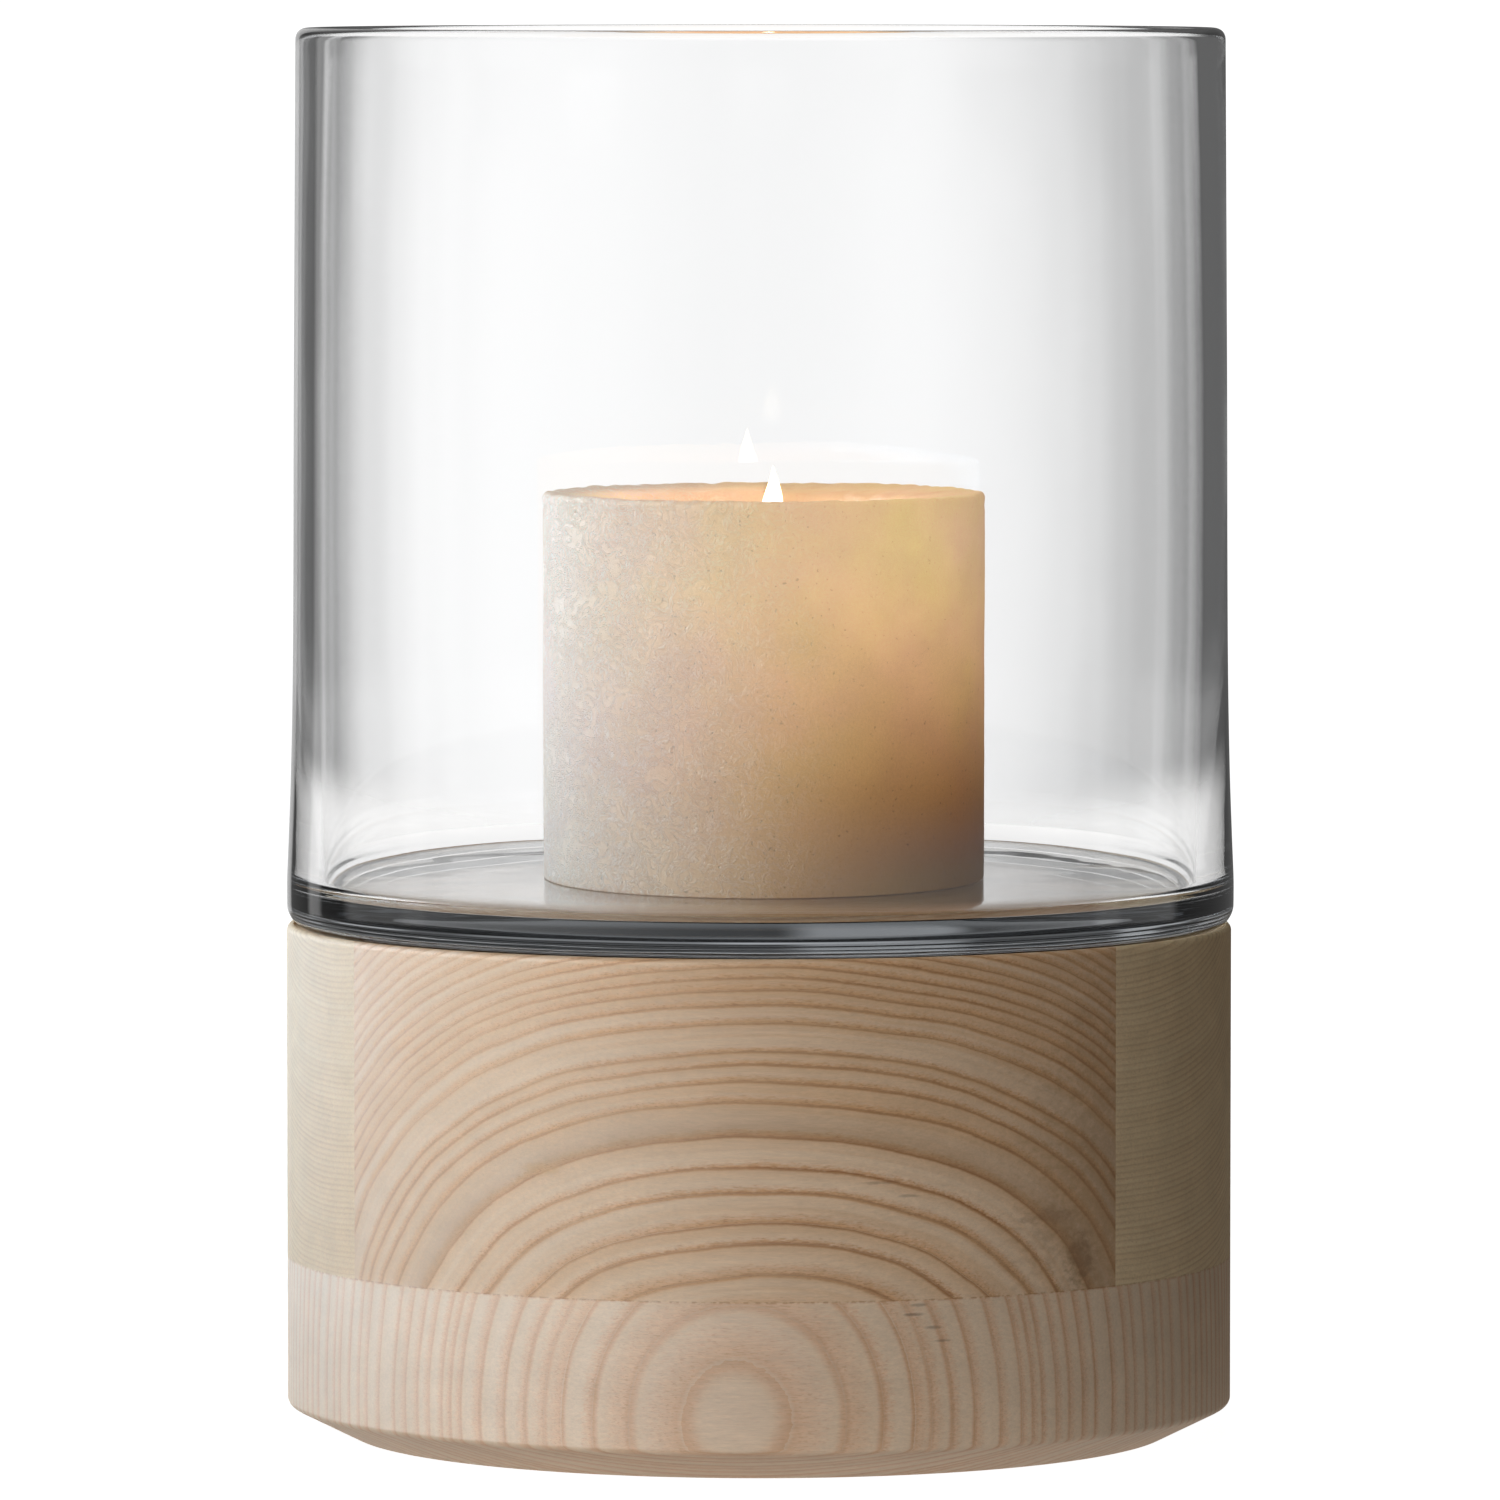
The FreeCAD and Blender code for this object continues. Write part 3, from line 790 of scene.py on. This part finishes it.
def melt_pool(material):
    """The pool of molten wax, drawn up a little round the wick."""
    bottom = WAX_TOP - BOWL_DEPTH + 0.1 * MM
    outline = divided(rounded([
        (0, bottom, 0),
        (25.0 * MM, bottom, 0),
        (29.6 * MM, POOL_TOP, 0.3 * MM),
        (4.0 * MM, POOL_TOP, 0),
        (1.3 * MM, POOL_TOP + 0.5 * MM, 0),
        (0, POOL_TOP + 0.6 * MM, 0),
    ], steps=3), 2 * MM)
    piece = finished(turned_mesh(outline, 160, WAX_X), "melt_pool", 40, material)
    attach(piece, "candle")


def wick_line(t):
    """A point on the wick's centreline: straight up, then bent over at the free end."""
    height = t * (wick_high.z - wick_low.z - 0.8 * MM)
    straight, bend_radius = 80.5 * MM, 12 * MM
    bent = max(0.0, height - straight)
    sideways = bent ** 2 / (2 * bend_radius)
    return Vector((WICK_X + sideways, 0, wick_low.z + 0.3 * MM + height))


def braided_wick(material):
    """Three strands laid round each other."""
    bm = bmesh.new()
    strand_radius, lay_radius = 0.52 * MM, 0.48 * MM
    turns, steps, sides = 22, 420, 8
    for strand in range(3):
        rings = []
        for i in range(steps + 1):
            t = i / steps
            a = 2 * math.pi * (turns * t + strand / 3)
            c = wick_line(t) + Vector((math.cos(a), math.sin(a), 0)) * lay_radius
            thin = strand_radius * (1 - 0.45 * max(0.0, (t - 0.95) / 0.05))
            rings.append([
                bm.verts.new(c + Vector((math.cos(b), math.sin(b), 0)) * thin)
                for b in (2 * math.pi * s / sides for s in range(sides))
            ])
        for low, high in zip(rings, rings[1:]):
            for k in range(sides):
                m = (k + 1) % sides
                bm.faces.new((low[k], low[m], high[m], high[k]))
        bm.faces.new(rings[0][::-1])
        bm.faces.new(rings[-1])
    piece = finished(bm, "wick_braid", 60, material)
    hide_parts("wick")
    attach(piece, "candle")


def flame(material):
    """A teardrop that leans a little with the wick."""
    tall = FLAME_TOP - FLAME_FOOT
    outline = [Vector((0, 0))]
    for i in range(1, 30):
        t = i / 30
        width = FLAME_RADIUS * math.sin(math.pi * t ** 0.62) ** 0.9 * (1 - 0.42 * t)
        outline.append(Vector((width, t * tall)))
    outline.append(Vector((0, tall)))
    bm = turned_mesh(outline, 48, WICK_X)
    for v in bm.verts:
        up = v.co.z / tall
        v.co.z += FLAME_FOOT
        v.co.x += 0.9 * MM * math.sin(up * 2.2)
    piece = finished(bm, "flame", 180, material)
    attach(piece, "candle")
    piece.visible_shadow = False
    return piece


# ---------------------------------------------------------------- stage, light and camera

LIT_POINT = Vector((0, 0, 0.13))
LIGHT_DISTANCE = 2.2
EYE = Vector((-0.00203, -2.8188, 0.3362))
AIM = Vector((-0.00203, 0.0, 0.1538))
FOCAL_LENGTH = 300.6
SENSOR_WIDTH = 36.0


def stage_floor():
    """A pale sheet under the lantern that runs out softly into the white of the room."""
    material, n = new_material("stage_white")
    place = position_mm(n)
    path = n.tree.nodes.new("ShaderNodeLightPath")
    mottle = n.noise(place, 0.004, 2.0)
    shade = n.math("MULTIPLY_ADD", mottle, 0.02, 0.34)
    paper = n.make("ShaderNodeBsdfDiffuse", n.combine(shade, shade, shade))
    seen = n.math("MAXIMUM", path.outputs["Is Camera Ray"], path.outputs["Is Transmission Ray"])
    away = n.vector("LENGTH", place, out=1)
    bounce = n.step(away, 96.0, 150.0, 0.29, 0.04)
    strength = n.make("ShaderNodeMapRange", seen, 0.0, 1.0, bounce, 0.96)
    glow = n.make("ShaderNodeEmission", (1.0, 1.0, 1.0), strength)
    lit = n.make("ShaderNodeAddShader", paper, glow)
    clear = n.make("ShaderNodeBsdfTransparent", (1.0, 1.0, 1.0))
    n.finish(n.make("ShaderNodeMixShader", n.step(away, 800.0, 1200.0), lit, clear))
    bm = bmesh.new()
    bmesh.ops.create_circle(bm, cap_ends=True, segments=96, radius=1.25)
    floor = finished(bm, "stage_floor", 30, material)
    floor.location.z = -0.0002


def world_light():
    """A white room. Through the glass it shows as bright flats, one every 45 degrees, with
    greyer gaps between them. Dull surfaces get only a weak, even light from it, and a broad
    soft gloss from above on the left. Azimuth is in degrees from +Y, positive towards +X."""
    world = bpy.data.worlds.new("studio")
    world.use_nodes = True
    world.cycles.sampling_method = "NONE"
    bpy.context.scene.world = world
    n = Nodes(world.node_tree)
    path = n.tree.nodes.new("ShaderNodeLightPath").outputs
    x, y, z = n.split(n.make("ShaderNodeTexCoord", out=0))
    azimuth = n.math("MULTIPLY", n.math("ARCTAN2", x, y), 180 / math.pi)

    # What is seen straight through glass: a wide flat at the back, and narrow ones all round
    left = n.step(azimuth, -20.0, -8.0, 0.23, 0.90)
    left = n.math("ADD", left, n.step(azimuth, -8.0, -1.0, 0.0, 0.22))
    right = n.step(azimuth, 1.0, 6.5, 1.12, 0.54)
    behind = n.math("MINIMUM", left, right)
    turned = n.make("ShaderNodeMath", azimuth, 22.5, -22.5, operation="WRAP")
    flats = n.step(n.math("ABSOLUTE", turned), 5.0, 11.0, 0.92, 0.25)
    off = n.math("ABSOLUTE", azimuth)
    elsewhere = n.step(off, 24.0, 30.0)
    level = n.mix(elsewhere, n.combine(behind, behind, behind), n.combine(flats, flats, flats))

    # What upright glass mirrors: bright walls at the sides, most on the left, a dim front, and
    # a dark back with a few slits. The floor of the glass mirrors what is behind it.
    mirrored = n.step(off, 57.0, 63.0, 0.13, 0.80)
    mirrored = n.math("ADD", mirrored, n.step(azimuth, -78.0, -70.0, 0.15, 0.0))
    mirrored = n.math("MULTIPLY", mirrored, n.step(azimuth, -175.0, -125.0, 0.25, 1.0))
    mirrored = n.math("MULTIPLY", mirrored, n.step(azimuth, 100.0, 132.0, 1.0, 0.2))
    ridge = n.math("ABSOLUTE", n.math("SUBTRACT", off, 87.0))
    mirrored = n.math("ADD", mirrored, n.step(ridge, 2.0, 6.0, 0.4, 0.0))
    slit = n.math("ABSOLUTE", n.math("ADD", azimuth, 41.0))
    mirrored = n.math("ADD", mirrored, n.step(slit, 2.0, 6.0, 0.7, 0.0))
    middle = n.math("ABSOLUTE", n.math("ADD", azimuth, 10.0))
    mirrored = n.math("ADD", mirrored, n.step(middle, 5.0, 9.0, 0.55, 0.0))
    reflected = n.math("GREATER_THAN", path["Glossy Depth"], 0.5)
    crossed = n.math("GREATER_THAN", path["Transmission Depth"], 3.5)
    off_floor = n.math("MULTIPLY", crossed, n.step(z, 0.0, 0.03))
    reflected = n.math("MULTIPLY", reflected, n.math("SUBTRACT", 1.0, off_floor))
    room = n.mix(reflected, level, n.combine(mirrored, mirrored, mirrored))
    above = n.step(z, 0.15, 0.5)
    room = n.mix(above, room, (0.40, 0.40, 0.40))

    # A broad soft gloss. It is cool, because wood tints what it gets from this light
    lamp_side = n.math("ABSOLUTE", n.math("ADD", azimuth, 98.0))
    gloss = n.step(lamp_side, 22.0, 84.0, 20.5, 0.05)
    gloss = n.math("MULTIPLY", gloss, n.step(z, 0.55, 0.95, 1.0, 0.05))
    cool = n.tint((0.53, 0.69, 0.88), gloss)
    dull = n.math("SUBTRACT", path["Is Glossy Ray"], path["Is Singular Ray"])
    room = n.mix(dull, room, cool)
    room = n.mix(path["Is Diffuse Ray"], room, (0.040, 0.033, 0.026))
    room = n.mix(path["Is Camera Ray"], room, (1.1, 1.1, 1.1))
    background = n.make("ShaderNodeBackground", room, 1.0)
    output = world.node_tree.nodes.new("ShaderNodeOutputWorld")
    world.node_tree.links.new(background, output.inputs[0])


def soft_light(name, azimuth, elevation, size, power, colour=(1, 1, 1)):
    """A softbox aimed at the lantern and not seen in gloss. Azimuth 0 is in front, and 90 is
    on the right."""
    data = bpy.data.lights.new(name, "AREA")
    data.shape = "RECTANGLE"
    data.size, data.size_y = size
    data.energy = power
    data.color = colour
    lamp = bpy.data.objects.new(name, data)
    a, e = math.radians(azimuth), math.radians(elevation)
    out = Vector((math.sin(a) * math.cos(e), -math.cos(a) * math.cos(e), math.sin(e)))
    lamp.location = LIT_POINT + out * LIGHT_DISTANCE
    lamp.rotation_mode = "QUATERNION"
    lamp.rotation_quaternion = out.to_track_quat("Z", "Y")
    lamp.visible_camera = False
    lamp.visible_transmission = False
    lamp.visible_glossy = False
    bpy.context.scene.collection.objects.link(lamp)


def camera():
    """A long lens a little above the rim, with the lantern just right of the middle."""
    data = bpy.data.cameras.new("camera")
    data.sensor_width = SENSOR_WIDTH
    data.lens = FOCAL_LENGTH
    data.clip_end = 60.0
    cam = bpy.data.objects.new("camera", data)
    cam.location = EYE
    cam.rotation_mode = "QUATERNION"
    cam.rotation_quaternion = (EYE - AIM).to_track_quat("Z", "Y")
    bpy.context.scene.collection.objects.link(cam)
    bpy.context.scene.camera = cam


def light_settings():
    """Enough bounces for thick glass, and plain colours."""
    scene = bpy.context.scene
    scene.view_settings.view_transform = "Standard"
    scene.cycles.max_bounces = 24
    scene.cycles.transmission_bounces = 20
    scene.cycles.glossy_bounces = 8
    scene.cycles.diffuse_bounces = 4
    scene.cycles.transparent_max_bounces = 24
    scene.cycles.caustics_reflective = False
    scene.cycles.caustics_refractive = False
    scene.cycles.sample_clamp_indirect = 8.0


def build():
    """Every piece, then the stage, the lights and the camera."""
    wooden_base()
    glass_cylinder(clear_glass())
    wax_pillar(wax())
    melt_pool(molten_wax())
    braided_wick(cotton())
    flame(flame_light())
    steel = pressed_steel()
    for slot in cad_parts["wick_tab"].material_slots:
        slot.material = steel
    stage_floor()
    world_light()
    soft_light("key", -27, 15, (1.5, 1.3), 24)
    soft_light("fill", 118, 12, (1.2, 1.2), 2.7, (1.0, 0.86, 0.66))
    soft_light("back", 190, 20, (1.5, 1.3), 13, (1.0, 0.93, 0.82))
    soft_light("top", 200, 86, (1.0, 1.0), 6)
    camera()
    light_settings()


build()
